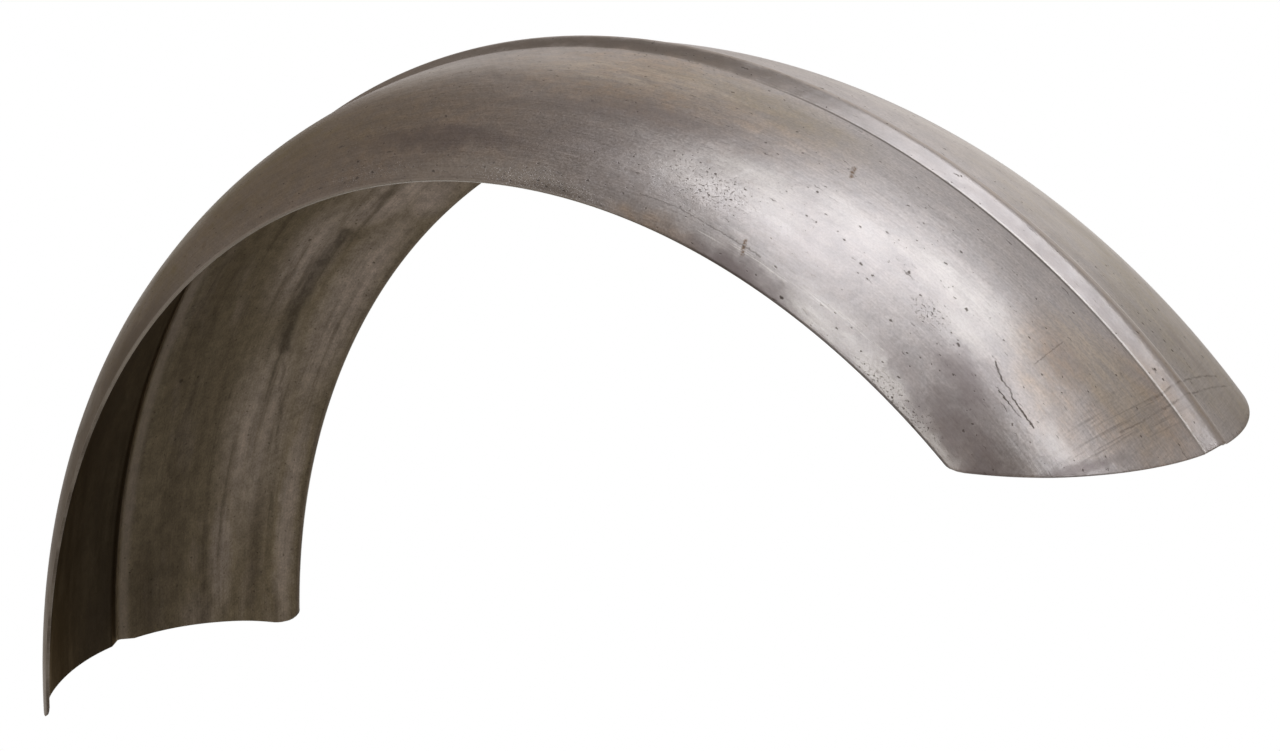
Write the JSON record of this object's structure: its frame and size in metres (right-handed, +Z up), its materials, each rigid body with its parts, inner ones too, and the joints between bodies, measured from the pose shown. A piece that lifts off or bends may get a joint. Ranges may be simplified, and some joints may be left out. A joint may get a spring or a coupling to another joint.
{
  "type": "motorcycle rear fender",
  "caption": "Bare steel rear fender for a motorcycle: a crowned sheet channel that arches over the wheel to stop spray, with a pressed centre rib and straight-cut ends with rounded corners.",
  "frame": {"origin": "on the wheel axle, midway across the fender", "axes": "+Y along the axle, +Z up as fitted, +X towards the rear of the machine"},
  "size_m": [0.5939, 0.1606, 0.3415],
  "materials": {
    "raw_steel": "bare rolled steel, unpainted, with rolling lines, handling marks and light stains"
  },
  "bodies": {
    "root": {"fender_shell": "raw_steel"}
  },
  "joints": []
}
